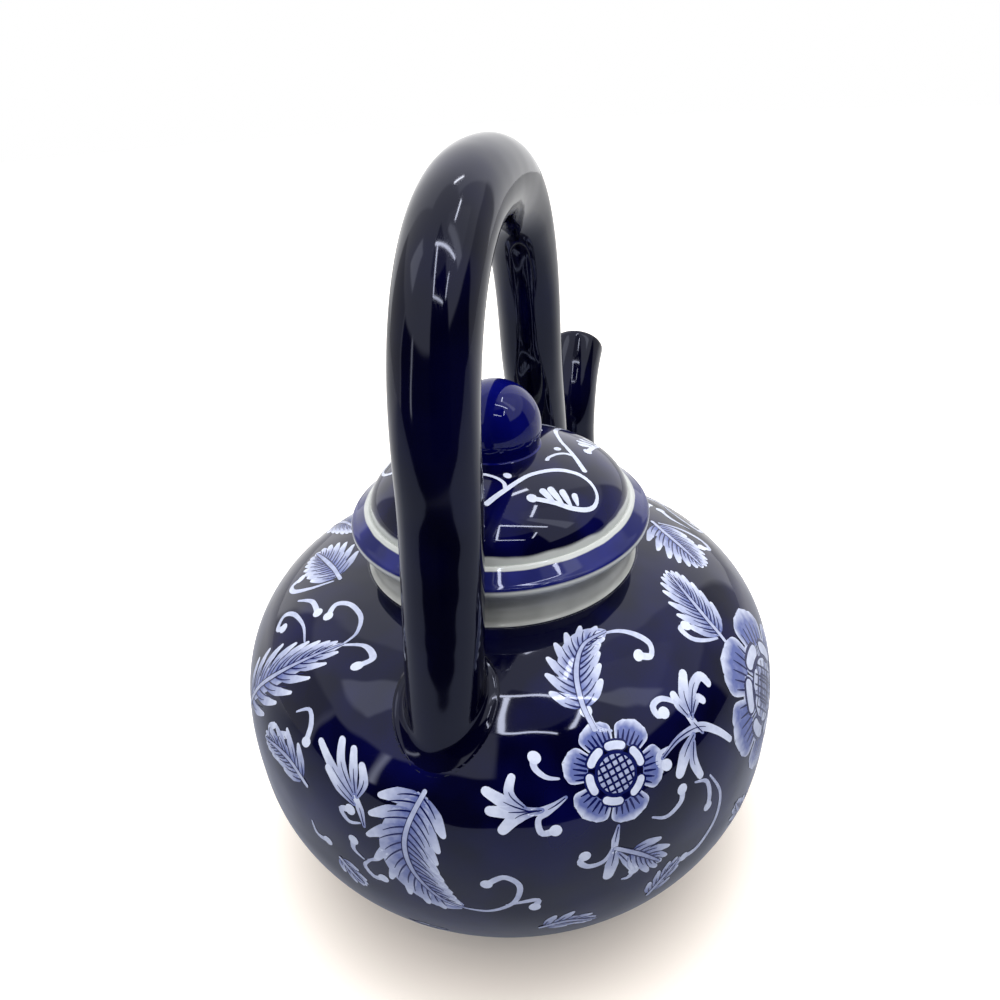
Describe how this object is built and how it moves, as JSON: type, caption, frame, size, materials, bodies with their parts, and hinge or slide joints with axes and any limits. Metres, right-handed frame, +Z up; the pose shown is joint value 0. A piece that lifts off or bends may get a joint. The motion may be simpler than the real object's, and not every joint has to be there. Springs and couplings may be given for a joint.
{
  "type": "teapot",
  "caption": "Squat round lidded pot with an S-curved spout opposite the pourer, a pierced grid behind it, a fixed arch handle overhead and a domed lid with a ball knob.",
  "frame": {"origin": "on the table, under the middle of the outline seen from above", "axes": "+X towards the spout's tip, +Z up, the handle's arch in the plane of X and Z"},
  "size_m": [0.2242, 0.16, 0.2137],
  "materials": {
    "cobalt_ground": "glossy cobalt underglaze",
    "cobalt_tube": "glossy cobalt underglaze",
    "cobalt_lid": "glossy cobalt underglaze",
    "cobalt_knob": "glossy cobalt underglaze",
    "clear_white": "glossy clear glaze",
    "bare_biscuit": "unglazed"
  },
  "bodies": {
    "pot": {"body_bowl": "cobalt_ground", "body_shoulder": "cobalt_ground", "foot_ring": "bare_biscuit", "neck_collar": "clear_white", "spout": "cobalt_tube", "handle_arch": "cobalt_tube"},
    "lid": {"lid_cover": "cobalt_lid", "lid_skirt": "clear_white", "lid_knob": "cobalt_knob"}
  },
  "joints": [
    {"name": "lid_lift", "type": "slide", "parent": "pot", "child": "lid", "axis": [0, 0, 1], "range_m": [0, 0.0085]}
  ]
}
